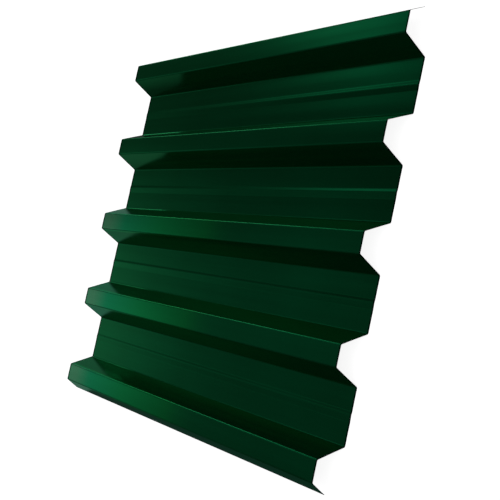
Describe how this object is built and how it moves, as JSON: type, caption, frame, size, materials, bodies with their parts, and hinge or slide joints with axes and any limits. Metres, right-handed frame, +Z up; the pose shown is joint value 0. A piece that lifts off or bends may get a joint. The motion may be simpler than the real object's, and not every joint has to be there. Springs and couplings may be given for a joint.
{
  "type": "box profile roofing sheet",
  "caption": "Trapezoidal steel roofing sheet: narrow crests, wide pans with a shallow middle rib, and a short web along each long edge for lapping.",
  "frame": {"origin": "middle of the sheet, level with the underside of its pans", "axes": "+X along the waves, +Y across them, +Z up through the crests"},
  "size_m": [0.96, 0.8216, 0.0532],
  "materials": {
    "coated_steel": "smooth dark moss green coil coating with a soft gloss on the weather side, pale grey backing coat beneath, bare galvanised cut edges"
  },
  "bodies": {
    "root": {"roofing_sheet": "coated_steel"}
  },
  "joints": []
}
